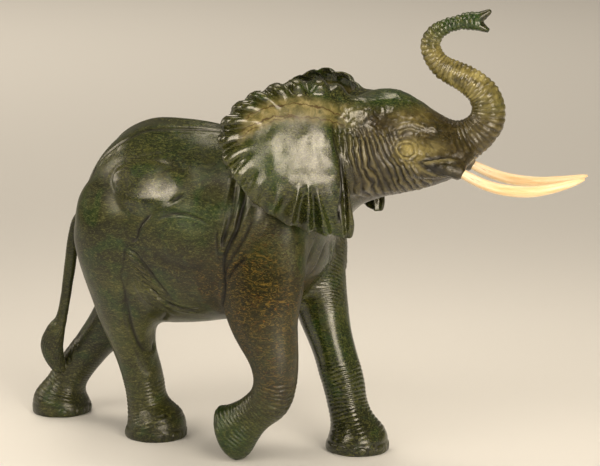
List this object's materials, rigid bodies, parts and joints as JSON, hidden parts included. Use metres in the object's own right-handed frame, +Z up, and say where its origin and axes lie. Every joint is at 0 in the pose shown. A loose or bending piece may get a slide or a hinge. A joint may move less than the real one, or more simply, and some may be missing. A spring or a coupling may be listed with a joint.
{
  "type": "stone elephant sculpture",
  "caption": "Carved polished green stone African elephant, walking with raised S-shaped trunk, fluted ears spread and cream tusks set in sockets.",
  "frame": {"origin": "on the floor, under the middle of the whole figure's box", "axes": "+X forward along the body towards the tusks, +Y to the elephant's left, +Z up"},
  "size_m": [0.5884, 0.2152, 0.43],
  "materials": {
    "green_stone": "polished",
    "tusk_cream": "satin"
  },
  "bodies": {
    "root": {"elephant": "green_stone", "tusk_right": "tusk_cream", "tusk_left": "tusk_cream"}
  },
  "joints": []
}
